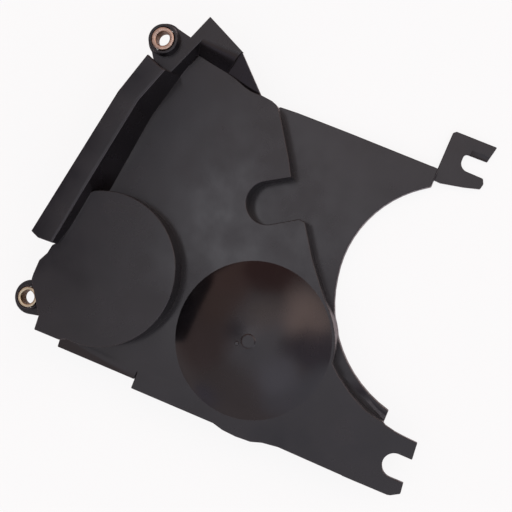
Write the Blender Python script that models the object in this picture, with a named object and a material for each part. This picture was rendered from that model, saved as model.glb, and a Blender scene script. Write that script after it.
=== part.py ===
"""Timing cover: one stepped plastic moulding with two metal sleeves pressed into its ears.

Metres, +Z up. The cover lies on its open back, outer side up. Plan places are
shares of REACH, counted from the datum near the middle of the cover, and the
finished model is moved so that its origin is the bottom centre of its box.
"""

from math import atan2, ceil, cos, pi, radians, sin, sqrt

import bmesh
import bpy
from mathutils import Vector

# Plan scale: every outline below is written in shares of this length
REACH = 0.100

# Heights above the back plane
LOW_TOP = 0.0060
MAIN_TOP = 0.0190
DISC_TOP = 0.0320
EAR_TOP = 0.0280
RIM_TOP = 0.0390
LOW_EAR_BASE = 0.0100

# Walls of the moulding
WALL = 0.0025
FLANGE_THICKNESS = 0.0025

# Raised disc and round dome
DISC_RADIUS = 0.0379
DOME_RADIUS = 0.0384
DOME_HEIGHT = 0.0125
DOME_LIP = 0.0014
GATE_RADIUS = 0.0036
GATE_STEP = 0.0004
PIP_RADIUS = 0.0011
PIP_RISE = 0.0006

# Recess in the edge of the main plate
NOTCH_RADIUS = 0.0105

# Round cut-out beside the main plate, in two arcs that run into each other
CUT_OUT_RADIUS = 0.0545
CUT_OUT_TAIL_RADIUS = 0.0620

# Open slots of the two forks
UPPER_FORK_THICKNESS = 0.0030
UPPER_SLOT_WIDTH = 0.0078
UPPER_SLOT_CORNER = 0.0044
UPPER_SLOT_EASE = 0.0018
UPPER_SLOT_LEAD = 0.0028
UPPER_SLOT_LEAD_DEPTH = 0.0012
LOWER_FORK_THICKNESS = 0.0035
LOWER_SLOT_WIDTH = 0.0117

# Ledge along the lower left edge
LEDGE_DROP = 0.0015

# Ears, their bosses and the sleeves in them
EAR_THICKNESS = 0.0025
RAMP_THICKNESS = 0.0034
FACET_HEAD_STEP = 0.0006
FACET_FOOT_STEP = 0.0014
EAR_RADIUS = 0.0085
BOSS_RADIUS = 0.0072
BOSS_SPREAD = 0.0005
LOW_EAR_THICKNESS = 0.0030
LOW_EAR_RADIUS = 0.0087
LOW_BOSS_RADIUS = 0.0060
UPPER_BUSH_RADIUS = 0.0055
LOWER_BUSH_RADIUS = 0.0051
BUSH_BORE_RADIUS = 0.0034
BUSH_LENGTH = 0.0080
BUSH_CHAMFER = 0.0004
BUSH_GAP = 0.0003
BUSH_PROUD = 0.0004

# Making of the solids
OVERRUN = 0.0020
WELD_GAP = 0.000005
ARC_STEP = radians(6)

# Plan centres, in shares of REACH
DISC_CENTRE_SHARES = (-0.637, -0.327)
DOME_CENTRE_SHARES = (0.169, -0.378)
DOME_RING_SHARES = (1.00, 0.97, 0.93, 0.88, 0.81, 0.72, 0.61, 0.48, 0.34, 0.20)
PIP_CENTRE_SHARES = (0.121, -0.408)
NOTCH_CENTRE_SHARES = (-0.010, 0.264)
CUT_OUT_JOIN_SHARES = ((0.424, 0.052),)
UPPER_SLOT_SHARES = (0.774, 0.795)
LOWER_SLOT_SHARES = (1.012, -0.670)
UPPER_BUSH_SHARES = (-0.753, 0.815)
LOWER_BUSH_SHARES = (-0.974, -0.609)

# Outlines, in shares of REACH
RIDGE_SHARES = ((-0.883, -0.292), (-0.819, 0.075), (-0.740, 0.488), (-0.668, 0.672))
FLANGE_OUTER_SHARES = ((-0.776, 0.714), (-0.847, 0.498), (-1.001, -0.277), (-0.958, -0.295))
RIM_FOOT_SHARES = ((-0.868, -0.298), (-0.765, 0.055), (-0.704, 0.465), (-0.642, 0.686))
EAR_EDGE_SHARES = ((-0.674, 0.676), (-0.583, 0.881))
EAR_FOOT_SHARES = ((-0.642, 0.686), (-0.592, 0.830))
EAR_PLATE_SHARES = ((-0.590, 0.905), (-0.640, 0.873), (-0.715, 0.893), (-0.800, 0.740), (-0.770, 0.700))
TAB_SHARES = ((-0.581, 0.892), (-0.369, 0.891), (-0.588, 0.999), (-0.646, 0.863))
RAMP_FOOT_SHARES = ((-0.600, 0.819), (-0.424, 0.784))
RAMP_HEAD_SHARES = ((-0.589, 0.882), (-0.385, 0.876))
RAMP_RUN_SHARES = (-0.20, 0.00, 0.25, 0.50, 0.65, 0.78, 0.88, 0.97, 1.05, 1.12, 1.20)
RAMP_RISE_SHARES = (-0.03, 0.00, 0.30, 0.60, 0.76, 0.87, 0.935, 0.972, 0.992, 1.00, 1.00)
FACET_SHARES = ((-0.380, 0.8935), (-0.438, 0.772), (-0.225, 0.729))
RAISED_LEFT_SHARES = (
    (-0.822, -0.005), (-0.880, -0.285), (-0.902, -0.308), (-0.911, -0.353), (-0.936, -0.400),
    (-0.939, -0.469), (-0.938, -0.500), (-0.837, -0.652), (-0.833, -0.723), (-0.697, -0.722),
)
MAIN_FOOT_SHARES = (
    (-0.800, -0.715), (-0.307, -0.738), (-0.307, -0.824), (0.136, -0.823), (0.189, -0.836),
    (0.260, -0.840), (0.337, -0.835), (0.392, -0.817), (0.471, -0.806), (0.900, -0.811),
    (0.889, -0.505), (0.789, -0.480), (0.694, -0.433), (0.611, -0.376),
)
MAIN_STEP_SHARES = (
    (0.422, -0.068), (0.373, -0.010), (0.290, 0.096), (0.203, 0.230), (0.193, 0.244), (0.163, 0.247),
)
MAIN_HEAD_SHARES = (
    (0.052, 0.421), (0.012, 0.494), (-0.042, 0.578), (-0.096, 0.661), (-0.131, 0.710),
    (-0.146, 0.722), (-0.172, 0.732), (-0.231, 0.740), (-0.281, 0.741), (-0.322, 0.750),
    (-0.378, 0.771), (-0.424, 0.784), (-0.520, 0.802), (-0.596, 0.818),
)
MAIN_LEFT_SHARES = ((-0.655, 0.672), (-0.728, 0.486), (-0.807, 0.073), (-0.818, 0.015), (-0.780, -0.080))
LOW_HEAD_SHARES = (
    (0.655, 0.607), (0.684, 0.626), (0.684, 0.719), (0.222, 0.731), (-0.055, 0.735),
    (-0.150, 0.732), (-0.180, 0.700), (-0.210, 0.600), (-0.250, 0.450), (-0.260, 0.130),
    (0.100, 0.000), (0.330, -0.250), (0.500, -0.480), (0.700, -0.590), (0.888, -0.590),
    (0.890, -0.457),
)
LEDGE_SHARES = ((-0.737, -0.640), (-0.737, -0.781), (-0.312, -0.779), (-0.300, -0.660))
LEDGE_BREAK_SHARES = ((-0.700, -0.722), (-0.300, -0.742))
UPPER_FORK_SHARES = (
    (0.680, 0.663), (0.717, 0.660), (0.827, 0.680), (0.905, 0.700), (0.912, 0.728), (0.900, 0.752),
)
UPPER_FORK_BACK_SHARES = ((0.889, 0.833), (0.908, 0.915), (0.700, 0.921), (0.686, 0.909), (0.680, 0.719))
NECK_SHARES = (0.655, 0.690, 0.662, 0.721)
LOWER_FORK_SHARES = ((0.800, -0.811), (1.030, -0.810), (1.045, -0.806), (1.086, -0.781), (1.080, -0.728))
LOWER_FORK_BACK_SHARES = (
    (1.078, -0.612), (1.072, -0.529), (0.998, -0.525), (0.957, -0.521), (0.904, -0.510),
    (0.888, -0.500), (0.800, -0.485),
)
LOW_EAR_SHARES = ((-1.000, -0.526), (-0.900, -0.500), (-0.820, -0.600), (-0.835, -0.668), (-0.955, -0.694))

# Colour, roughness and metallic value of each finish
PLASTIC = ("black_plastic", (0.018, 0.017, 0.019), 0.38, 0.0)
COPPER = ("coppered_steel", (0.78, 0.50, 0.36), 0.30, 1.0)
BRASS = ("yellow_brass", (0.80, 0.62, 0.32), 0.28, 1.0)


def clear_scene():
    for item in list(bpy.data.objects):
        bpy.data.objects.remove(item, do_unlink=True)


def finish(spec):
    """A Principled material from its name, colour, roughness and metallic value."""
    name, colour, roughness, metallic = spec
    material = bpy.data.materials.new(name)
    material.use_nodes = True
    shader = material.node_tree.nodes["Principled BSDF"]
    shader.inputs["Base Color"].default_value = (*colour, 1.0)
    shader.inputs["Roughness"].default_value = roughness
    shader.inputs["Metallic"].default_value = metallic
    return material


def place(shares):
    """The plan place, in metres, of one pair of shares."""
    return (shares[0] * REACH, shares[1] * REACH)


def places(table):
    return [place(pair) for pair in table]


def arc(centre, radius, start, end):
    """Points on a circle from one angle to another, no further apart than ARC_STEP."""
    count = max(2, ceil(abs(end - start) / ARC_STEP))
    angles = [start + (end - start) * step / count for step in range(count + 1)]
    return [(centre[0] + radius * cos(a), centre[1] + radius * sin(a)) for a in angles]


def arc_between(start, end, radius):
    """An arc of a named radius from one point to another, turning clockwise, without its last point."""
    first, last = Vector(start), Vector(end)
    half = (last - first) / 2
    across = Vector((half.y, -half.x)).normalized()
    centre = first + half + across * sqrt(radius ** 2 - half.length_squared)
    turn = bearing(centre, start)
    stop = bearing(centre, end)
    if stop > turn:
        stop -= 2 * pi
    return arc(centre, radius, turn, stop)[:-1]


def circle(centre, radius):
    return arc(centre, radius, 0.0, 2 * pi)[:-1]


def bearing(centre, point):
    return atan2(point[1] - centre[1], point[0] - centre[0])


def area(outline):
    """Signed area of an outline, positive where it runs anticlockwise."""
    pairs = zip(outline, outline[1:] + outline[:1])
    return sum(a[0] * b[1] - b[0] * a[1] for a, b in pairs) / 2


def anticlockwise(outline):
    return outline if area(outline) > 0 else outline[::-1]


def shifted(outline, distance):
    """An outline moved sideways by a distance, outwards where that is positive."""
    points = anticlockwise(outline)
    moved = []
    for before, here, after in zip(points[-1:] + points[:-1], points, points[1:] + points[:1]):
        first = Vector((here[1] - before[1], before[0] - here[0])).normalized()
        second = Vector((after[1] - here[1], here[0] - after[0])).normalized()
        bisector = first + second
        step = bisector * (2 * distance / bisector.length_squared)
        moved.append((here[0] + step.x, here[1] + step.y))
    return moved


def beside(path, distance):
    """An open path moved sideways by a distance, to the right of its run where that is positive."""
    moved = []
    for index, here in enumerate(path):
        before = path[max(index - 1, 0)]
        after = path[min(index + 1, len(path) - 1)]
        run = Vector((after[0] - before[0], after[1] - before[1])).normalized()
        moved.append((here[0] + run.y * distance, here[1] - run.x * distance))
    return moved


def make_object(name, mesh_builder):
    mesh = bpy.data.meshes.new(name)
    body = bpy.data.objects.new(name, mesh)
    bpy.context.collection.objects.link(body)
    builder = bmesh.new()
    mesh_builder(builder)
    bmesh.ops.recalc_face_normals(builder, faces=builder.faces)
    builder.to_mesh(mesh)
    builder.free()
    return body


def loft(name, rings):
    """A solid through a stack of outlines with as many points each, given with their heights."""
    def build(builder):
        rows = []
        for outline, height in rings:
            heights = height if isinstance(height, (list, tuple)) else [height] * len(outline)
            rows.append([builder.verts.new((x, y, z)) for (x, y), z in zip(outline, heights)])
        builder.faces.new(rows[0][::-1])
        builder.faces.new(rows[-1])
        for low, high in zip(rows, rows[1:]):
            for index in range(len(low)):
                after = (index + 1) % len(low)
                builder.faces.new((low[index], low[after], high[after], high[index]))
    return make_object(name, build)


def prism(name, outline, bottom, top):
    points = anticlockwise(outline)
    return loft(name, [(points, bottom), (points, top)])


def lathe(name, centre, profile):
    """A solid turned about the upright axis through a plan place; the profile is (radius, height)."""
    return loft(name, [(circle(centre, radius), height) for radius, height in profile])


def weld(mesh):
    """Closes up corners that a cut has left a hair apart, and the slivers between them."""
    builder = bmesh.new()
    builder.from_mesh(mesh)
    bmesh.ops.remove_doubles(builder, verts=builder.verts, dist=WELD_GAP)
    bmesh.ops.dissolve_degenerate(builder, edges=builder.edges[:], dist=WELD_GAP)
    builder.to_mesh(mesh)
    builder.free()


def combine(body, tools, operation):
    """Joins tools to a body, or cuts the body with them, in one exact step, and removes the tools."""
    group = bpy.data.collections.new("tools")
    for tool in tools:
        group.objects.link(tool)
    step = body.modifiers.new("combine", "BOOLEAN")
    step.operation = operation
    step.solver = "EXACT"
    step.operand_type = "COLLECTION"
    step.collection = group
    graph = bpy.context.evaluated_depsgraph_get()
    mesh = bpy.data.meshes.new_from_object(body.evaluated_get(graph))
    body.modifiers.clear()
    old = body.data
    body.data = mesh
    bpy.data.meshes.remove(old)
    weld(mesh)
    bpy.data.collections.remove(group)
    for tool in tools:
        bpy.data.objects.remove(tool, do_unlink=True)
    return body


def trimmed(body, point, normal):
    """Cuts away what lies beyond a plane, and closes the cut."""
    builder = bmesh.new()
    builder.from_mesh(body.data)
    parts = builder.verts[:] + builder.edges[:] + builder.faces[:]
    cut = bmesh.ops.bisect_plane(builder, geom=parts, plane_co=point, plane_no=normal, clear_outer=True)
    edges = [item for item in cut["geom_cut"] if isinstance(item, bmesh.types.BMEdge)]
    bmesh.ops.contextual_create(builder, geom=edges)
    bmesh.ops.recalc_face_normals(builder, faces=builder.faces)
    builder.to_mesh(body.data)
    builder.free()
    return body


def skirt(order):
    """Where a block starts under the back plane: each at its own depth, and all are cut off there."""
    return -OVERRUN * order


def lip_outline(radius):
    """The stretch of the main plate's edge that runs round the dome, between its two neighbours."""
    centre = place(DOME_CENTRE_SHARES)
    start = bearing(centre, place(MAIN_FOOT_SHARES[-1]))
    end = bearing(centre, place(MAIN_STEP_SHARES[0]))
    margin = radians(6)
    return arc(centre, radius, start + margin, end - margin)


def notch_outline():
    """The round end of the recess, between its two straight walls."""
    centre = place(NOTCH_CENTRE_SHARES)
    lower = Vector(place(MAIN_STEP_SHARES[-1])) - Vector(centre)
    upper = Vector(place(MAIN_HEAD_SHARES[0])) - Vector(centre)
    reach_low = sqrt(max(lower.length_squared - NOTCH_RADIUS ** 2, 0.0))
    reach_high = sqrt(max(upper.length_squared - NOTCH_RADIUS ** 2, 0.0))
    start = atan2(lower.y, lower.x) - atan2(reach_low, NOTCH_RADIUS)
    end = atan2(upper.y, upper.x) + atan2(reach_high, NOTCH_RADIUS) - 2 * pi
    return arc(centre, NOTCH_RADIUS, start, end)


def main_outline():
    lip = lip_outline(DOME_RADIUS + DOME_LIP)
    middle = lip + places(MAIN_STEP_SHARES) + notch_outline()
    return places(MAIN_FOOT_SHARES) + middle + places(MAIN_HEAD_SHARES) + places(MAIN_LEFT_SHARES)


def cut_out_outline():
    """The round cut-out's edge, from the end of the narrow strip up to the neck of the fork."""
    strip_end, join, head = places(LOW_HEAD_SHARES[-1:] + CUT_OUT_JOIN_SHARES + LOW_HEAD_SHARES[:1])
    return arc_between(strip_end, join, CUT_OUT_TAIL_RADIUS)[1:] + arc_between(join, head, CUT_OUT_RADIUS)


def low_outline():
    return cut_out_outline() + places(LOW_HEAD_SHARES)


def flange_outline():
    return places(RIDGE_SHARES) + places(FLANGE_OUTER_SHARES)


def ear_plate_outline():
    """The flat round the upper ear, out to the boss, back along the end of the rim."""
    centre = place(UPPER_BUSH_SHARES)
    start = bearing(centre, place(EAR_PLATE_SHARES[2]))
    end = bearing(centre, place(EAR_PLATE_SHARES[3])) % (2 * pi)
    lobe = arc(centre, EAR_RADIUS, start, end)
    return places(EAR_EDGE_SHARES) + places(EAR_PLATE_SHARES[:2]) + lobe + places(EAR_PLATE_SHARES[4:])


def leaning_wall(name, head_shares, foot_shares, top):
    """A wall that leans from its foot on the main plate out to its head, as thick all the way up."""
    head, foot = places(head_shares), places(foot_shares)
    upper = head + beside(head, -WALL)[::-1]
    lower = foot + beside(foot, -WALL)[::-1]
    return loft(name, [(lower[::-1], MAIN_TOP - WALL / 2), (upper[::-1], top)])


def raised_outline():
    """The disc's arc on the right, and the straight sides it runs into on the left."""
    centre = place(DISC_CENTRE_SHARES)
    left = places(RAISED_LEFT_SHARES)
    turn = radians(4)
    start = bearing(centre, left[-1]) + turn
    end = bearing(centre, left[0]) - turn
    return arc(centre, DISC_RADIUS, start, end) + left


def between(first, second, share):
    """The point a share of the way from one point to another, or past them."""
    return tuple(a + (b - a) * share for a, b in zip(first, second))


def ramp_body():
    """The slope from the main plate up to the head tab, rounded over where it meets the tab."""
    left_foot, right_foot = places(RAMP_FOOT_SHARES)
    left_head, right_head = places(RAMP_HEAD_SHARES)
    rise = EAR_TOP - MAIN_TOP

    def build(builder):
        rows = []
        for run, share in zip(RAMP_RUN_SHARES, RAMP_RISE_SHARES):
            top = MAIN_TOP + rise * share
            left = between(left_foot, left_head, run)
            right = between(right_foot, right_head, run)
            corners = ((left, top), (right, top), (right, top - RAMP_THICKNESS), (left, top - RAMP_THICKNESS))
            rows.append([builder.verts.new((*point, height)) for point, height in corners])
        builder.faces.new(rows[0])
        builder.faces.new(rows[-1][::-1])
        for near, far in zip(rows, rows[1:]):
            for index in range(4):
                after = (index + 1) % 4
                builder.faces.new((near[index], far[index], far[after], near[after]))
    return make_object("ramp", build)


def facet_body():
    """The flat three-cornered slope beside the ramp, from the tab's corner down to the main plate."""
    outline = places(FACET_SHARES)
    tops = [EAR_TOP - FACET_HEAD_STEP] + [MAIN_TOP - FACET_FOOT_STEP] * 2
    undersides = [top - RAMP_THICKNESS for top in tops]
    return loft("facet", [(outline, undersides), (outline, tops)])


def dome_height(radius):
    """Height of the dome's skin above its foot, at a distance from its middle: part of a sphere."""
    ball = (DOME_RADIUS ** 2 + DOME_HEIGHT ** 2) / (2 * DOME_HEIGHT)
    return sqrt(ball ** 2 - radius ** 2) - (ball - DOME_HEIGHT)


def dome_body(name, foot, sunk):
    """The round dome with the low step of the gate on its top, as a turned solid."""
    centre = place(DOME_CENTRE_SHARES)
    radii = [DOME_RADIUS * share for share in DOME_RING_SHARES] + [GATE_RADIUS]
    profile = [(DOME_RADIUS, foot - WALL / 2)]
    profile += [(radius, foot + dome_height(radius)) for radius in radii]
    if not sunk:
        top = foot + dome_height(GATE_RADIUS) + GATE_STEP
        profile.append((GATE_RADIUS - GATE_STEP, top))
    return lathe(name, centre, profile)


def pip_body():
    """The small round pip on the dome, beside the gate."""
    centre = place(PIP_CENTRE_SHARES)
    middle = place(DOME_CENTRE_SHARES)
    away = Vector((centre[0] - middle[0], centre[1] - middle[1])).length
    skin = MAIN_TOP + dome_height(away)
    return lathe("pip", centre, [(PIP_RADIUS, skin - WALL / 2), (PIP_RADIUS, skin + PIP_RISE)])


def stepped_bodies():
    """The low plate, the main plate and the raised flat."""
    main = prism("main", main_outline(), skirt(1), MAIN_TOP)
    low = prism("low", low_outline(), skirt(2), LOW_TOP)
    raised = prism("raised", raised_outline(), skirt(3), DISC_TOP)
    return [main, low, raised]


def rim_bodies():
    """The leaning wall on the left, its flange, and the lower wall that carries on to the ear."""
    wall = leaning_wall("rim_wall", RIDGE_SHARES, RIM_FOOT_SHARES, RIM_TOP)
    flange = prism("rim_flange", flange_outline(), RIM_TOP - FLANGE_THICKNESS, RIM_TOP)
    ear_wall = leaning_wall("ear_wall", EAR_EDGE_SHARES, EAR_FOOT_SHARES, EAR_TOP)
    return [wall, flange, ear_wall]


def head_bodies():
    """The tab at the top corner, the slopes up to it, and the flat from it to the upper ear."""
    tab = prism("tab", places(TAB_SHARES), EAR_TOP - EAR_THICKNESS, EAR_TOP)
    plate = prism("ear_plate", ear_plate_outline(), EAR_TOP - EAR_THICKNESS, EAR_TOP)
    centre = place(UPPER_BUSH_SHARES)
    base = upper_bush_base()
    head = base + BUSH_LENGTH - BUSH_PROUD
    spread = BOSS_RADIUS + BOSS_SPREAD
    boss = lathe("upper_boss", centre, [(spread, base), (spread, EAR_TOP), (BOSS_RADIUS, head)])
    return [tab, ramp_body(), facet_body(), plate, boss]


def ledge_body(name, outline, lift, order):
    """The sloping ledge along the lower left edge of the main plate, or its hollow a wall lower."""
    body = prism(name, outline, skirt(order), MAIN_TOP + lift)
    start, end = (Vector((*p, MAIN_TOP + lift)) for p in places(LEDGE_BREAK_SHARES))
    along = (end - start).normalized()
    out = Vector((along.y, -along.x, 0.0))
    width = start.y - place(LEDGE_SHARES[1])[1]
    fall = atan2(LEDGE_DROP, width)
    return trimmed(body, start, out * sin(fall) + Vector((0, 0, 1)) * cos(fall))


def upper_fork_body():
    """The low fork: a flat tongue with an open slot, square in one corner and round in the other."""
    left, middle = place(UPPER_SLOT_SHARES)
    half = UPPER_SLOT_WIDTH / 2
    corner = (left + UPPER_SLOT_CORNER, middle - half + UPPER_SLOT_CORNER)
    upper = (left + UPPER_SLOT_EASE, middle + half - UPPER_SLOT_EASE)
    slot = arc(corner, UPPER_SLOT_CORNER, -pi / 2, -pi) + arc(upper, UPPER_SLOT_EASE, pi, pi / 2)
    outline = places(UPPER_FORK_SHARES) + slot + places(UPPER_FORK_BACK_SHARES)
    body = prism("upper_fork", outline, skirt(4), UPPER_FORK_THICKNESS)
    return combine(body, [slot_lead_cutter(left, middle + half)], "DIFFERENCE")


def slot_lead_cutter(left, edge):
    """A wedge that bevels the top of the slot's far edge, where the bolt head slides in."""
    top = UPPER_FORK_THICKNESS
    start = left + UPPER_SLOT_LEAD
    end = place(UPPER_FORK_BACK_SHARES[1])[0] + OVERRUN
    low = top - UPPER_SLOT_LEAD_DEPTH
    near, far = edge - OVERRUN, edge + UPPER_SLOT_LEAD
    outline = [(start, near), (end, near), (end, far), (start, far)]
    fall = UPPER_SLOT_LEAD_DEPTH * OVERRUN / UPPER_SLOT_LEAD
    floor = [low - fall, low - fall, top, top]
    roof = [top + OVERRUN] * 4
    return loft("slot_lead", [(outline, floor), (outline, roof)])


def neck_body():
    """The joggle that carries the low fork: its top slopes from the low plate to the fork."""
    x0, x1, y0, y1 = (share * REACH for share in NECK_SHARES)
    outline = [(x0, y0), (x1, y0), (x1, y1), (x0, y1)]
    tops = [LOW_TOP, UPPER_FORK_THICKNESS, UPPER_FORK_THICKNESS, LOW_TOP]
    return loft("neck", [(outline, skirt(5)), (outline, tops)])


def lower_fork_body():
    """The high fork, flush with the main plate, with its slot open to the right."""
    centre = place(LOWER_SLOT_SHARES)
    slot = arc(centre, LOWER_SLOT_WIDTH / 2, -pi / 2, -3 * pi / 2)
    outline = places(LOWER_FORK_SHARES) + slot + places(LOWER_FORK_BACK_SHARES)
    return prism("lower_fork", outline, MAIN_TOP - LOWER_FORK_THICKNESS, MAIN_TOP)


def low_ear_bodies():
    """The lower ear: a thin lobe on the side wall and a boss for its sleeve."""
    centre = place(LOWER_BUSH_SHARES)
    base = LOW_EAR_BASE
    lug = prism("low_lug", places(LOW_EAR_SHARES), base, base + LOW_EAR_THICKNESS)
    lobe = lathe("low_lobe", centre, [(LOW_EAR_RADIUS, base), (LOW_EAR_RADIUS, base + LOW_EAR_THICKNESS)])
    head = base + BUSH_LENGTH - BUSH_PROUD
    boss = lathe("low_boss", centre, [(LOW_BOSS_RADIUS + BOSS_SPREAD, base), (LOW_BOSS_RADIUS, head)])
    return [lug, lobe, boss]


def hollows():
    """What is taken out from the back: each block again, smaller by the wall, and all below the plane."""
    main = prism("main_hollow", shifted(main_outline(), -WALL), skirt(8), MAIN_TOP - WALL)
    low = prism("low_hollow", shifted(low_outline(), -WALL), skirt(9), LOW_TOP - WALL)
    raised = prism("raised_hollow", shifted(raised_outline(), -WALL), skirt(10), DISC_TOP - WALL)
    ledge = ledge_body("ledge_hollow", shifted(places(LEDGE_SHARES), -WALL), -WALL, 11)
    dome = dome_body("dome_hollow", MAIN_TOP - WALL, True)
    under = prism("under", circle((0.0, 0.0), REACH + REACH), skirt(14), 0.0)
    return [main, low, raised, ledge, dome, under]


def upper_bush_base():
    return EAR_TOP - EAR_THICKNESS


def bore_cutter(name, shares, radius, bottom):
    """The hole for a sleeve, wider than the sleeve by the fit gap and right through its boss."""
    hole = radius + BUSH_GAP
    return lathe(name, place(shares), [(hole, bottom - OVERRUN), (hole, bottom + BUSH_LENGTH + OVERRUN)])


def tidy(body):
    """Dissolves edges between faces that lie in one plane, and splits the faces into triangles."""
    builder = bmesh.new()
    builder.from_mesh(body.data)
    edges = builder.edges[:]
    bmesh.ops.dissolve_limit(builder, angle_limit=radians(0.3), verts=builder.verts[:], edges=edges)
    bmesh.ops.triangulate(builder, faces=builder.faces)
    bmesh.ops.recalc_face_normals(builder, faces=builder.faces)
    builder.to_mesh(body.data)
    builder.free()


def cover_moulding():
    """The whole plastic moulding: blocks joined, hollowed from the back, and bored for the sleeves."""
    bodies = stepped_bodies() + head_bodies() + low_ear_bodies()
    bodies += [dome_body("dome", MAIN_TOP, False), pip_body()]
    bodies.append(ledge_body("ledge", places(LEDGE_SHARES), 0.0, 6))
    bodies += [neck_body(), upper_fork_body(), lower_fork_body()]
    cover = combine(bodies[0], bodies[1:], "UNION")
    combine(cover, hollows(), "DIFFERENCE")
    combine(cover, rim_bodies(), "UNION")
    upper = bore_cutter("upper_bore", UPPER_BUSH_SHARES, UPPER_BUSH_RADIUS, upper_bush_base())
    lower = bore_cutter("lower_bore", LOWER_BUSH_SHARES, LOWER_BUSH_RADIUS, LOW_EAR_BASE)
    combine(cover, [upper, lower], "DIFFERENCE")
    tidy(cover)
    cover.name = "cover_moulding"
    cover.data.name = cover.name
    cover.data.materials.append(finish(PLASTIC))
    return cover


def bush(name, shares, radius, bottom, spec):
    """A plain metal sleeve with a small chamfer at each end, bored right through."""
    top = bottom + BUSH_LENGTH
    ease = BUSH_CHAMFER
    outside = [(radius - ease, bottom), (radius, bottom + ease), (radius, top - ease), (radius - ease, top)]
    sleeve = lathe(name, place(shares), outside)
    bore = [
        (BUSH_BORE_RADIUS + ease + OVERRUN, bottom - OVERRUN), (BUSH_BORE_RADIUS, bottom + ease),
        (BUSH_BORE_RADIUS, top - ease), (BUSH_BORE_RADIUS + ease + OVERRUN, top + OVERRUN),
    ]
    combine(sleeve, [lathe(name + "_bore", place(shares), bore)], "DIFFERENCE")
    tidy(sleeve)
    sleeve.data.materials.append(finish(spec))
    return sleeve


def move_to_base(bodies):
    """Puts the origin at the bottom centre of the whole part's box."""
    corners = [vertex.co for body in bodies for vertex in body.data.vertices]
    low = [min(c[axis] for c in corners) for axis in range(3)]
    high = [max(c[axis] for c in corners) for axis in range(3)]
    middle = Vector(((low[0] + high[0]) / 2, (low[1] + high[1]) / 2, low[2]))
    for body in bodies:
        for vertex in body.data.vertices:
            vertex.co -= middle


def main():
    clear_scene()
    cover = cover_moulding()
    upper = bush("upper_bush", UPPER_BUSH_SHARES, UPPER_BUSH_RADIUS, upper_bush_base(), COPPER)
    lower = bush("lower_bush", LOWER_BUSH_SHARES, LOWER_BUSH_RADIUS, LOW_EAR_BASE, BRASS)
    bodies = [cover, upper, lower]
    move_to_base(bodies)
    for body in bodies:
        body.data.shade_smooth()
        body.data.set_sharp_from_angle(angle=radians(25))


if __name__ == "__main__":
    main()
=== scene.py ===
"""Looks of the timing cover: black moulded plastic with two metal sleeves, lying on its open back."""

import bpy
import bmesh
import numpy as np
from bpy.props import FloatProperty, FloatVectorProperty, IntProperty, PointerProperty
from mathutils import Matrix, Vector


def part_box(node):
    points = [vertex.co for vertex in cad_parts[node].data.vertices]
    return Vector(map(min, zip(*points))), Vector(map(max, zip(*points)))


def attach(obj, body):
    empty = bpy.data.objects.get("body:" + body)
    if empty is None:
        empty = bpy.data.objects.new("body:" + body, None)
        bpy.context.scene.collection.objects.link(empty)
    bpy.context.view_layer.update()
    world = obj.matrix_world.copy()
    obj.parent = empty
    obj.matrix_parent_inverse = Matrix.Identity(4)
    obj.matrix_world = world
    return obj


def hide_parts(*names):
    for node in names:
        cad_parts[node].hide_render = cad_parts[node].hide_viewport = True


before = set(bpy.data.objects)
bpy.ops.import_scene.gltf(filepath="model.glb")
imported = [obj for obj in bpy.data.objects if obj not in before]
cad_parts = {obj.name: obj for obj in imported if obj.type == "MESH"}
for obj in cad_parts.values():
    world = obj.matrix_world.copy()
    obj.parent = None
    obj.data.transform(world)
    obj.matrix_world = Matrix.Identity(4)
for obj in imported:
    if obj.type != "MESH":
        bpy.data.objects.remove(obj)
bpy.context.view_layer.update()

bl_info = {
    "name": "Timing cover",
    "version": (1, 0, 0),
    "blender": (4, 5, 0),
    "location": "3D View > Sidebar > Cover",
    "description": "Builds a stepped plastic timing cover with metal sleeves, and its studio",
    "category": "Object",
}

# The photograph's camera: it stands at a height and a place beside the datum, looks at the datum,
# and is rolled about its line of sight
LENS_MM = 78.75
SENSOR_MM = 36.0
CAMERA_HEIGHT = 0.5514
CAMERA_PLACE = (0.0963, 0.0163)
CAMERA_ROLL = np.radians(21.4)
CAMERA_REACH = (0.01, 20.0)
DATUM = (-0.00125, -0.00795)

# What lies to the right and down in the photograph, on the floor
RIGHTWARD = np.array((np.cos(CAMERA_ROLL), np.sin(CAMERA_ROLL), 0.0))
DOWNWARD = np.array((np.sin(CAMERA_ROLL), -np.cos(CAMERA_ROLL), 0.0))

# The room round the cover, which its gloss mirrors: the walls, the ceiling, and how upright
# a direction is where the ceiling starts and where it is full
ROOM_WALLS = (0.68, 0.56, 0.56)
ROOM_CEILING = (1.08, 1.03, 1.13)
CEILING_SLOPES = (0.72, 0.985)

# What the camera sees of the room, and a tilt too small to have a direction
WHITE = (1.0, 1.0, 1.0)
NO_TILT = 1e-9

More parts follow.
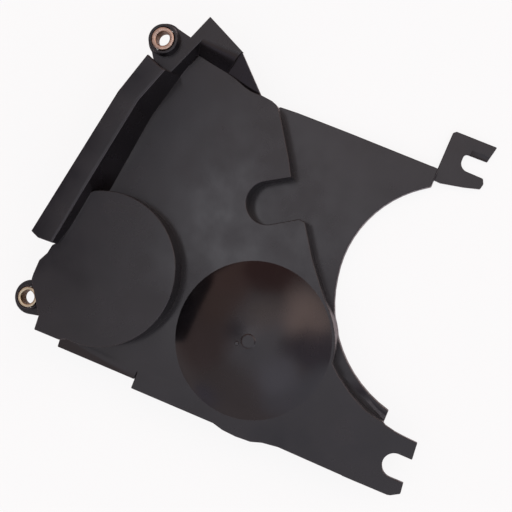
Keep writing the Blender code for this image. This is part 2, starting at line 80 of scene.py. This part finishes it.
# Soft cards of the room: leaning from straight above, to the right and down in degrees,
# then the reach of the full card and of its soft edge in degrees, and its colour
ROOM_CARDS = (
    ("grey_wall_low", (22, 54), 14, 26, (0.84, 0.80, 0.92)),
    ("grey_card_low", (15, 33), 8, 24, (1.20, 1.15, 1.33)),
    ("brown_wall_left", (-56, -4), 22, 34, (0.58, 0.41, 0.39)),
    ("brown_wall_corner", (-38, -36), 17, 25, (0.66, 0.44, 0.39)),
    ("brown_wall_above", (-26, -60), 16, 24, (0.68, 0.42, 0.37)),
    ("dark_corner_left", (-80, -30), 19, 23, (0.02, 0.02, 0.03)),
    ("warm_ceiling", (2, -21), 8, 16, (1.24, 1.02, 0.98)),
    ("dark_wall_above", (8, -64), 20, 26, (0.38, 0.19, 0.17)),
    ("pink_wall_right", (38, -34), 10, 18, (1.55, 1.18, 1.08)),
    ("pink_window", (42, -17), 12, 27, (2.25, 1.65, 1.50)),
    ("dark_screen_tip", (26, 6), 5, 12, (0.42, 0.36, 0.42)),
    ("dark_screen_middle", (42, 7), 12, 16, (0.34, 0.29, 0.37)),
    ("dark_screen_side", (46, 20), 6, 9, (0.34, 0.29, 0.38)),
    ("dark_screen_foot", (60, 9), 12, 15, (0.42, 0.36, 0.44)),
    ("grey_floor_right", (52, 47), 16, 21, (0.84, 0.82, 0.94)),
    ("pale_lamp_above", (-11.5, -3.5), 2.5, 6.5, (2.90, 2.85, 3.05)),
    ("pale_ceiling_above", (-2, -8), 2, 8, (1.38, 1.26, 1.34)),
    ("dim_ceiling_below", (-9, 8), 2, 7, (0.55, 0.55, 0.66)),
    ("dim_ceiling_left", (-19, 1), 3, 6, (0.80, 0.73, 0.75)),
    ("dim_gap_left", (-21, -8), 5, 9.5, (0.05, 0.05, 0.10)),
    ("violet_gap_corner", (-54, 53), 7, 11, (0.45, 0.43, 0.60)),
    ("low_window_right", (90, 18), 9, 13, (2.50, 2.30, 2.45)),
    ("low_window_corner", (74, 57), 13, 17, (3.50, 3.20, 3.50)),
)

# The key light: its lean as a card's, its distance from the frame's origin, its side and colour
KEY_LEAN = (80, -12)
KEY_DISTANCE = 1.3
KEY_SIDE = 0.3
KEY_COLOUR = (1.0, 0.96, 0.92)

# The floor: half its side, how far it lies below the cover, its finish, and how much of what
# the camera sees of it is plain white
FLOOR_REACH = 6.0
FLOOR_DROP = 0.0002
FLOOR_COLOUR = (0.85, 0.85, 0.85, 1.0)
FLOOR_ROUGHNESS = 0.9
FLOOR_WHITENESS = 0.88

# The moulding's skin: how near two corners are to be one, how far a flat face and a soft edge
# may turn, how much a face beside the leaning wall's top edge looks towards the plates, and how
# much the large faces count in the shading of a rounded edge, where 50 is evenly
WELD = 2e-5
FLAT_TURN = np.radians(1)
SOFT_TURN = np.radians(25)
INWARD_LOOK = 0.3
LARGE_FACE_WEIGHT = 100

# Clouds of noise in the finishes: how many to the metre, and how finely they are broken up
EDGE_CLOUDS = (900.0, 3.0)
TONE_CLOUDS = (60.0, 4.0)
GLOSS_CLOUDS = (35.0, 5.0)
WAVE_CLOUDS = (45.0, 1.0)
GRAIN_CLOUDS = (2600.0, 2.0)
STAIN_CLOUDS = (500.0, 4.0)
METAL_CLOUDS = (700.0, 3.0)
CLOUD_ROUGHNESS = 0.55

# Most of a cloud lies in the first range, and a share runs over the second
CLOUD_RANGE = (0.35, 0.65)
SHARE_RANGE = (0.0, 1.0)

# Rubbed edges of the plastic: how far round a point the skin is looked at, how well the rounded
# and the flat direction agree from no rubbing to full rubbing, and how clouds break it up
EDGE_REACH = 0.0007
EDGE_SAMPLES = 6
EDGE_AGREEMENTS = (0.985, 0.90)
EDGE_BREAKS = (0.42, 0.62)
EDGE_BREAK_SHARES = (0.1, 1.0)

# The plastic's darkest and lightest patches, as shares of its colour
TONE_SHARES = (0.75, 1.25)

# Bumps, each by its strength and its depth
WAVE_BUMP = (0.25, 0.0002)
GRAIN_BUMP = (0.10, 0.00003)
RING_BUMP = (0.15, 0.00002)

# Sleeves: the radius of the bore, the turned rings, the stains, how much a face looks upwards
# where the painted shade of upright faces starts and where it is full, what that painted shade
# leaves of red, green and blue, and the gloss
SLEEVE_BORE = 0.0034
RING_SCALE = 1400.0
RING_WAVER = 0.4
STAINS = (0.40, 0.70)
STAIN_SHARES = (0.0, 0.7)
STAIN_TONE = 0.60
SIDE_SHADE_SLOPES = (0.55, 0.10)
SIDE_SHADE_SHARES = (0.34, 0.26, 0.16)
METAL_ROUGHNESS = (0.22, 0.42)


class CoverPlasticSettings(bpy.types.PropertyGroup):
    """Sizes and colours of the moulding's finish."""
    edge_round: FloatProperty(
        name="Edge round", description="Radius of the moulding's outer edges",
        default=0.0004, min=0.0001, max=0.0008, unit="LENGTH")
    ridge_round: FloatProperty(
        name="Ridge round", description="Radius of the edge along the top of the leaning wall",
        default=0.0010, min=0.0004, max=0.0016, unit="LENGTH")
    edge_steps: IntProperty(
        name="Edge steps", description="Faces across each rounded edge", default=3, min=1, max=6)
    colour: FloatVectorProperty(
        name="Plastic colour", description="Base colour of the moulding",
        default=(0.0062, 0.0058, 0.0068), subtype="COLOR", min=0.0, max=1.0)
    worn_colour: FloatVectorProperty(
        name="Worn colour", description="Colour of edges that have been rubbed",
        default=(0.030, 0.027, 0.028), subtype="COLOR", min=0.0, max=1.0)
    low_roughness: FloatProperty(
        name="Lowest roughness", description="Roughness of the shiniest patches",
        default=0.18, min=0.0, max=1.0, subtype="FACTOR")
    high_roughness: FloatProperty(
        name="Highest roughness", description="Roughness of the dullest patches",
        default=0.30, min=0.0, max=1.0, subtype="FACTOR")


class CoverSleeveSettings(bpy.types.PropertyGroup):
    """Sizes and colours of the metal sleeves."""
    bore_round: FloatProperty(
        name="Bore round", description="Radius of the sleeves' inner edges",
        default=0.0008, min=0.0002, max=0.0009, unit="LENGTH")
    outer_round: FloatProperty(
        name="Outer round", description="Radius of the sleeves' outer edges",
        default=0.0004, min=0.0001, max=0.0008, unit="LENGTH")
    copper_colour: FloatVectorProperty(
        name="Copper colour", description="Colour of the upper sleeve",
        default=(0.50, 0.37, 0.29), subtype="COLOR", min=0.0, max=1.0)
    brass_colour: FloatVectorProperty(
        name="Brass colour", description="Colour of the lower sleeve",
        default=(0.58, 0.52, 0.36), subtype="COLOR", min=0.0, max=1.0)


class CoverStudioSettings(bpy.types.PropertyGroup):
    """Strengths of the studio's lights."""
    key_watts: FloatProperty(
        name="Key light", description="Power of the low light at the fork side",
        default=1.0, min=0.0, unit="POWER")
    room_strength: FloatProperty(
        name="Room", description="Strength of the room's soft light", default=1.0, min=0.0)


def new_material(name):
    """An empty node material with a Principled shader wired to its output."""
    material = bpy.data.materials.new(name)
    material.use_nodes = True
    tree = material.node_tree
    return material, tree, tree.nodes["Principled BSDF"]


def node(tree, kind, **values):
    """A shader node with settings and sockets set by name: settings keep their own names,
    and a socket's name has _ for each space."""
    made = tree.nodes.new(kind)
    for name, value in values.items():
        if name in made.bl_rna.properties:
            setattr(made, name, value)
        else:
            made.inputs[name.replace("_", " ")].default_value = value
    return made


def noise(tree, place, clouds):
    """Cloudy noise over a set of coordinates, about 0.3 to 0.7."""
    scale, detail = clouds
    cloud = node(tree, "ShaderNodeTexNoise", Scale=scale, Detail=detail, Roughness=CLOUD_ROUGHNESS)
    tree.links.new(place, cloud.inputs["Vector"])
    return cloud.outputs["Fac"]


def spread(tree, value, old_range, new_range, smooth=False):
    """A value moved from one range to another, and held at its ends."""
    ranged = node(tree, "ShaderNodeMapRange")
    ranged.interpolation_type = "SMOOTHSTEP" if smooth else "LINEAR"
    for name, number in zip(("From Min", "From Max", "To Min", "To Max"), (*old_range, *new_range)):
        ranged.inputs[name].default_value = number
    tree.links.new(value, ranged.inputs["Value"])
    return ranged.outputs["Result"]


def bump(tree, height, size, under=None):
    """A bumped normal from a height, laid over another bumped normal if one is given."""
    strength, depth = size
    made = node(tree, "ShaderNodeBump", Strength=strength, Distance=depth)
    tree.links.new(height, made.inputs["Height"])
    if under:
        tree.links.new(under, made.inputs["Normal"])
    return made.outputs["Normal"]


def blend_colours(tree, share, first, second):
    """A mix of two colours by a share: each is a socket or a plain colour."""
    mixed = node(tree, "ShaderNodeMix", data_type="RGBA")
    colours = [socket for socket in mixed.inputs if socket.type == "RGBA"]
    for socket, colour in zip(colours, (first, second)):
        if isinstance(colour, bpy.types.NodeSocket):
            tree.links.new(colour, socket)
        else:
            socket.default_value = (*colour, 1.0)
    tree.links.new(share, mixed.inputs["Factor"])
    return [socket for socket in mixed.outputs if socket.type == "RGBA"][0]


def satin_plastic():
    """Black plastic: a wavy skin with fine grain, patches of duller gloss and rubbed edges."""
    look = bpy.context.scene.cover_plastic
    material, tree, shader = new_material("black_satin_plastic")
    place = node(tree, "ShaderNodeTexCoord").outputs["Object"]

    # Rubbed edges: where the skin turns quickly, broken up by noise
    turned = node(tree, "ShaderNodeBevel", samples=EDGE_SAMPLES, Radius=EDGE_REACH)
    flat = node(tree, "ShaderNodeNewGeometry")
    facing = node(tree, "ShaderNodeVectorMath", operation="DOT_PRODUCT")
    tree.links.new(turned.outputs["Normal"], facing.inputs[0])
    tree.links.new(flat.outputs["Normal"], facing.inputs[1])
    edge = spread(tree, facing.outputs["Value"], EDGE_AGREEMENTS, SHARE_RANGE)
    patchy = spread(tree, noise(tree, place, EDGE_CLOUDS), EDGE_BREAKS, EDGE_BREAK_SHARES)
    rubbed = node(tree, "ShaderNodeMath", operation="MULTIPLY")
    tree.links.new(edge, rubbed.inputs[0])
    tree.links.new(patchy, rubbed.inputs[1])

    tone = spread(tree, noise(tree, place, TONE_CLOUDS), CLOUD_RANGE, TONE_SHARES)
    shade = node(tree, "ShaderNodeVectorMath", operation="SCALE")
    shade.inputs[0].default_value = look.colour
    tree.links.new(tone, shade.inputs["Scale"])
    worn = blend_colours(tree, rubbed.outputs[0], shade.outputs["Vector"], tuple(look.worn_colour))
    tree.links.new(worn, shader.inputs["Base Color"])

    roughness = (look.low_roughness, look.high_roughness)
    dull = spread(tree, noise(tree, place, GLOSS_CLOUDS), CLOUD_RANGE, roughness)
    tree.links.new(dull, shader.inputs["Roughness"])

    wave = bump(tree, noise(tree, place, WAVE_CLOUDS), WAVE_BUMP)
    grain = bump(tree, noise(tree, place, GRAIN_CLOUDS), GRAIN_BUMP, wave)
    tree.links.new(grain, shader.inputs["Normal"])
    return material


def turned_metal(name, colour, centre):
    """Turned metal of a sleeve: fine rings about its own axis, with dull and stained patches."""
    material, tree, shader = new_material(name)
    shader.inputs["Metallic"].default_value = 1.0
    place = node(tree, "ShaderNodeTexCoord").outputs["Object"]
    centred = node(tree, "ShaderNodeMapping", vector_type="POINT")
    centred.inputs["Location"].default_value = (-centre[0], -centre[1], 0.0)
    tree.links.new(place, centred.inputs["Vector"])
    rings = node(
        tree, "ShaderNodeTexWave", wave_type="RINGS", rings_direction="Z", Scale=RING_SCALE,
        Distortion=RING_WAVER)
    tree.links.new(centred.outputs["Vector"], rings.inputs["Vector"])
    tree.links.new(bump(tree, rings.outputs["Fac"], RING_BUMP), shader.inputs["Normal"])
    stain = spread(tree, noise(tree, place, STAIN_CLOUDS), STAINS, STAIN_SHARES)
    dark = tuple(STAIN_TONE * value for value in colour)
    stained = blend_colours(tree, stain, tuple(colour), dark)
    # Painted shade: faces that look sideways, above all the walls of the bore, are darkened to a deep
    # brown
    facing = node(tree, "ShaderNodeSeparateXYZ")
    tree.links.new(node(tree, "ShaderNodeNewGeometry").outputs["True Normal"], facing.inputs[0])
    bore = spread(tree, facing.outputs["Z"], SIDE_SHADE_SLOPES, SHARE_RANGE, smooth=True)
    # The painted shade's colour: the sleeve's colour darkened towards brown
    painted_side_shade = tuple(value * share for value, share in zip(colour, SIDE_SHADE_SHARES))
    tree.links.new(blend_colours(tree, bore, stained, painted_side_shade), shader.inputs["Base Color"])
    rough = spread(tree, noise(tree, place, METAL_CLOUDS), CLOUD_RANGE, METAL_ROUGHNESS)
    tree.links.new(rough, shader.inputs["Roughness"])
    return material


def new_body(name, mesh):
    """An object at the origin that shows a mesh."""
    body = bpy.data.objects.new(name, mesh)
    bpy.context.scene.collection.objects.link(body)
    return body


def rounded_copy(source, name, width, ridge_width, steps):
    """A frame node's mesh welded into one skin, with rounded outward edges and crisp inward ones.

    The edge along the top of the leaning wall gets its own, wider round.
    """
    builder = bmesh.new()
    builder.from_mesh(source.data)
    bmesh.ops.transform(builder, matrix=source.matrix_world, verts=builder.verts)
    bmesh.ops.remove_doubles(builder, verts=builder.verts, dist=WELD)
    bmesh.ops.dissolve_degenerate(builder, edges=builder.edges[:], dist=WELD)
    bmesh.ops.dissolve_limit(
        builder, angle_limit=FLAT_TURN, verts=builder.verts[:], edges=builder.edges[:])
    top = max(vertex.co.z for vertex in builder.verts) - WELD
    share = builder.edges.layers.float.new("bevel_weight_edge")
    for edge in builder.edges:
        angle = edge.calc_face_angle_signed(0.0)
        edge.smooth = angle > -SOFT_TURN
        on_ridge = all(vertex.co.z > top for vertex in edge.verts)
        inner = any(face.normal.x > INWARD_LOOK for face in edge.link_faces)
        if angle > SOFT_TURN:
            edge[share] = 1.0 if on_ridge and inner else width / ridge_width
    mesh = bpy.data.meshes.new(name)
    builder.to_mesh(mesh)
    builder.free()
    body = new_body(name, mesh)
    rounding = body.modifiers.new("rounded_edges", "BEVEL")
    rounding.limit_method = "WEIGHT"
    rounding.width = ridge_width
    rounding.segments = steps
    rounding.use_clamp_overlap = False
    return body


def rounded_loop(corners, rounds, steps=6):
    """A closed loop through square corners, each rounded by a quarter circle of its own radius.

    The middle of a circle lies a radius along both sides of its corner, and
    point = middle - next side * radius * cos(turn) - last side * radius * sin(turn).
    """
    points = []
    for index, (corner, radius) in enumerate(zip(corners, rounds)):
        corner = np.array(corner)
        to_last = np.array(corners[index - 1]) - corner
        to_next = np.array(corners[(index + 1) % len(corners)]) - corner
        to_last, to_next = to_last / np.linalg.norm(to_last), to_next / np.linalg.norm(to_next)
        middle = corner + (to_last + to_next) * radius
        turn = np.linspace(0.0, np.pi / 2, steps)[:, None]
        points.append(middle - to_next * radius * np.cos(turn) - to_last * radius * np.sin(turn))
    return np.concatenate(points)


def turned_ring(name, centre, loop, steps=96):
    """A closed ring turned about an upright axis.

    Each (radius, height) point of the closed loop is carried round the axis:
    x = centre x + radius cos(turn), y = centre y + radius sin(turn), z = height.
    """
    turn = np.linspace(0.0, 2 * np.pi, steps, endpoint=False)
    radius, height = loop[:, :1], loop[:, 1:]
    grid = np.stack((
        centre[0] + radius * np.cos(turn), centre[1] + radius * np.sin(turn), height + 0 * turn),
        axis=-1)
    row, column = np.indices((len(loop), steps))
    next_row, next_column = (row + 1) % len(loop), (column + 1) % steps
    faces = np.stack((
        row * steps + column, row * steps + next_column,
        next_row * steps + next_column, next_row * steps + column), axis=-1)
    mesh = bpy.data.meshes.new(name)
    mesh.from_pydata(grid.reshape(-1, 3).tolist(), [], faces.reshape(-1, 4).tolist())
    mesh.shade_smooth()
    return new_body(name, mesh)


class OBJECT_OT_cover_moulding(bpy.types.Operator):
    """Builds the plastic moulding with rounded edges and its satin finish"""
    bl_idname = "object.cover_moulding"
    bl_label = "Moulding"

    def execute(self, context):
        look = context.scene.cover_plastic
        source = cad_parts["cover_moulding"]
        body = rounded_copy(
            source, "moulding_skin", look.edge_round, look.ridge_round, look.edge_steps)
        body.data.materials.clear()
        body.data.materials.append(satin_plastic())
        body.data.shade_smooth()
        flat = body.modifiers.new("flat_faces", "WEIGHTED_NORMAL")
        flat.weight = LARGE_FACE_WEIGHT
        flat.keep_sharp = True
        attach(body, "root")
        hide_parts("cover_moulding")
        return {"FINISHED"}


class OBJECT_OT_cover_sleeves(bpy.types.Operator):
    """Builds the two metal sleeves with their rounded mouths and turned finish"""
    bl_idname = "object.cover_sleeves"
    bl_label = "Sleeves"

    def execute(self, context):
        look = context.scene.cover_sleeves
        for part, name, finish, colour in (
            ("upper_bush", "upper_sleeve", "coppery_sleeve", look.copper_colour),
            ("lower_bush", "lower_sleeve", "yellow_sleeve", look.brass_colour),
        ):
            low, high = (np.array(corner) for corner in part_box(part))
            centre, outer = (low + high) / 2, (high[0] - low[0]) / 2
            corners = (
                (SLEEVE_BORE, low[2]), (outer, low[2]), (outer, high[2]), (SLEEVE_BORE, high[2]))
            rounds = (look.bore_round, look.outer_round, look.outer_round, look.bore_round)
            body = turned_ring(name, centre, rounded_loop(corners, rounds))
            body.data.materials.append(turned_metal(finish, colour, centre))
            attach(body, "root")
            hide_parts(part)
        return {"FINISHED"}


def leaning(lean):
    """The direction that leans from straight above by degrees to the photograph's right and down.

    The tilt is the length of the two leans, and
    direction = sideways unit * sin(tilt) + upwards unit * cos(tilt).
    """
    right, down = np.radians(lean)
    tilt = np.hypot(right, down)
    across = (RIGHTWARD * right + DOWNWARD * down) / max(tilt, NO_TILT)
    return across * np.sin(tilt) + np.array((0.0, 0.0, np.cos(tilt)))


def area_light(name, lean, distance, side, watts, colour):
    """A square soft light that leans by degrees, as a card of the room does."""
    data = bpy.data.lights.new(name, "AREA")
    data.shape = "SQUARE"
    data.size = side
    data.energy = watts
    data.color = colour
    lamp = bpy.data.objects.new(name, data)
    lamp.location = leaning(lean) * distance
    lamp.rotation_euler = Vector(-leaning(lean)).to_track_quat("-Z", "Y").to_euler()
    bpy.context.scene.collection.objects.link(lamp)


def photo_camera():
    """The camera of the photograph: it aims at the datum and is rolled about its line of sight."""
    data = bpy.data.cameras.new("photo_camera")
    data.lens = LENS_MM
    data.sensor_width = SENSOR_MM
    data.clip_start, data.clip_end = CAMERA_REACH
    camera = bpy.data.objects.new("photo_camera", data)
    back = Vector((*CAMERA_PLACE, CAMERA_HEIGHT)).normalized()
    across = Vector(RIGHTWARD)
    across = (across - back * across.dot(back)).normalized()
    turn = Matrix((across, back.cross(across), back)).transposed().to_4x4()
    place = Vector((CAMERA_PLACE[0] + DATUM[0], CAMERA_PLACE[1] + DATUM[1], CAMERA_HEIGHT))
    camera.matrix_world = Matrix.Translation(place) @ turn
    bpy.context.scene.collection.objects.link(camera)
    bpy.context.scene.camera = camera


def pale_floor():
    """A wide pale floor that looks nearly white to the camera but keeps the cover's shadow."""
    mesh = bpy.data.meshes.new("floor")
    near, far = -FLOOR_REACH, FLOOR_REACH
    corners = [(near, near, 0), (far, near, 0), (far, far, 0), (near, far, 0)]
    mesh.from_pydata(corners, [], [(0, 1, 2, 3)])
    floor = new_body("floor", mesh)
    floor.location.z = -FLOOR_DROP
    material, tree, shader = new_material("pale_floor")
    shader.inputs["Base Color"].default_value = FLOOR_COLOUR
    shader.inputs["Roughness"].default_value = FLOOR_ROUGHNESS
    path = node(tree, "ShaderNodeLightPath")
    white = node(tree, "ShaderNodeEmission", Strength=1.0)
    share = node(tree, "ShaderNodeMath", operation="MULTIPLY")
    share.inputs[1].default_value = FLOOR_WHITENESS
    mixed = node(tree, "ShaderNodeMixShader")
    tree.links.new(path.outputs["Is Camera Ray"], share.inputs[0])
    tree.links.new(share.outputs[0], mixed.inputs[0])
    tree.links.new(shader.outputs[0], mixed.inputs[1])
    tree.links.new(white.outputs[0], mixed.inputs[2])
    tree.links.new(mixed.outputs[0], tree.nodes["Material Output"].inputs["Surface"])
    mesh.materials.append(material)


def room(strength):
    """The soft room light: a pale ceiling that falls off to darker walls, and its soft cards."""
    world = bpy.data.worlds.new("studio_room")
    world.use_nodes = True
    bpy.context.scene.world = world
    tree = world.node_tree
    way = node(tree, "ShaderNodeTexCoord").outputs["Generated"]
    height = node(tree, "ShaderNodeSeparateXYZ")
    tree.links.new(way, height.inputs[0])
    ceiling = spread(tree, height.outputs["Z"], CEILING_SLOPES, SHARE_RANGE, smooth=True)
    colour = blend_colours(tree, ceiling, ROOM_WALLS, ROOM_CEILING)
    for name, lean, full, faded, shade in ROOM_CARDS:
        nearness = node(tree, "ShaderNodeVectorMath", operation="DOT_PRODUCT")
        nearness.name = name
        nearness.inputs[1].default_value = leaning(lean)
        tree.links.new(way, nearness.inputs[0])
        reach = np.cos(np.radians((faded, full)))
        share = spread(tree, nearness.outputs["Value"], reach, SHARE_RANGE, smooth=True)
        colour = blend_colours(tree, share, colour, shade)
    seen = node(tree, "ShaderNodeLightPath").outputs["Is Camera Ray"]
    back = tree.nodes["Background"]
    tree.links.new(blend_colours(tree, seen, colour, WHITE), back.inputs["Color"])
    back.inputs["Strength"].default_value = strength


class SCENE_OT_cover_stage(bpy.types.Operator):
    """Sets up the pale floor, the soft lights and the photograph's camera"""
    bl_idname = "scene.cover_stage"
    bl_label = "Stage"

    def execute(self, context):
        studio = context.scene.cover_studio
        pale_floor()
        room(studio.room_strength)
        area_light("key", KEY_LEAN, KEY_DISTANCE, KEY_SIDE, studio.key_watts, KEY_COLOUR)
        photo_camera()
        context.scene.view_settings.view_transform = "Standard"
        return {"FINISHED"}


class VIEW3D_PT_cover(bpy.types.Panel):
    """Lists the cover's pieces and settings"""
    bl_idname = "VIEW3D_PT_cover"
    bl_label = "Timing cover"
    bl_space_type = "VIEW_3D"
    bl_region_type = "UI"
    bl_category = "Cover"

    def draw(self, context):
        layout = self.layout
        scene = context.scene
        for group in (scene.cover_plastic, scene.cover_sleeves, scene.cover_studio):
            for name in group.__annotations__:
                layout.prop(group, name)
        for operator in (OBJECT_OT_cover_moulding, OBJECT_OT_cover_sleeves, SCENE_OT_cover_stage):
            layout.operator(operator.bl_idname)


CLASSES = (
    CoverPlasticSettings, CoverSleeveSettings, CoverStudioSettings, OBJECT_OT_cover_moulding,
    OBJECT_OT_cover_sleeves, SCENE_OT_cover_stage, VIEW3D_PT_cover,
)


def register():
    for item in CLASSES:
        bpy.utils.register_class(item)
    bpy.types.Scene.cover_plastic = PointerProperty(type=CoverPlasticSettings)
    bpy.types.Scene.cover_sleeves = PointerProperty(type=CoverSleeveSettings)
    bpy.types.Scene.cover_studio = PointerProperty(type=CoverStudioSettings)


def unregister():
    del bpy.types.Scene.cover_studio
    del bpy.types.Scene.cover_sleeves
    del bpy.types.Scene.cover_plastic
    for item in reversed(CLASSES):
        bpy.utils.unregister_class(item)


def main():
    """Builds the pieces in order."""
    register()
    bpy.ops.object.cover_moulding()
    bpy.ops.object.cover_sleeves()
    bpy.ops.scene.cover_stage()


if __name__ == "__main__":
    main()
